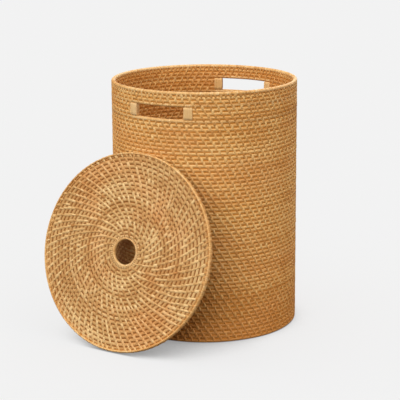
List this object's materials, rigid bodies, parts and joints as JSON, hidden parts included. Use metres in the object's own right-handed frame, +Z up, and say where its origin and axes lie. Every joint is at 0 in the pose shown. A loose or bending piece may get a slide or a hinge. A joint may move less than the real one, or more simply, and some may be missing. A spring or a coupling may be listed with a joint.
{
  "type": "laundry basket",
  "caption": "Round coiled rattan laundry basket with two hand slots near the rim and a flat round lid with a finger hole, leaning on its front.",
  "frame": {"origin": "centre of the basket's base, on the face that stands on the floor", "axes": "+Z up along the basket's axis. The hand slots face -Y (front) and +Y (back). The lid leans on the front, a little to the -X side."},
  "size_m": [0.5116, 0.5871, 0.6],
  "materials": {
    "rattan_wall": "satin split cane stitched over round cane, honey brown with darker core showing between stitches",
    "rattan_wrapped": "satin split cane wrapped closely round one course",
    "rattan_binding": "pale smooth satin cane peel",
    "rattan_lid": "satin split cane stitched over round cane in curved spokes, honey brown"
  },
  "bodies": {
    "basket": {"base_centre": "rattan_wall", "base_coil_inner": "rattan_wall", "base_coil_middle": "rattan_wall", "base_coil_outer": "rattan_wall", "foot_course": "rattan_wall", "wall_band_1": "rattan_wall", "wall_band_2": "rattan_wall", "wall_band_3": "rattan_wall", "wall_band_4": "rattan_wall", "wall_band_5": "rattan_wall", "sill_course": "rattan_wrapped", "side_wall_left": "rattan_wall", "side_wall_right": "rattan_wall", "slot_binding_front_left": "rattan_binding", "slot_binding_front_right": "rattan_binding", "slot_binding_back_left": "rattan_binding", "slot_binding_back_right": "rattan_binding", "header_course": "rattan_wrapped", "grip_course_lower": "rattan_wall", "grip_course_upper": "rattan_wall", "rim_coil": "rattan_wrapped"},
    "lid": {"lid_hole_ring": "rattan_wrapped", "lid_coil_inner": "rattan_lid", "lid_coil_middle": "rattan_lid", "lid_coil_outer": "rattan_lid", "lid_edge_coil": "rattan_wrapped", "lid_locating_ring": "rattan_wrapped"}
  },
  "joints": [
    {"name": "lid_lift", "type": "slide", "parent": "basket", "child": "lid", "axis": [0, 0, 1], "range_m": [0, 0.65]}
  ]
}
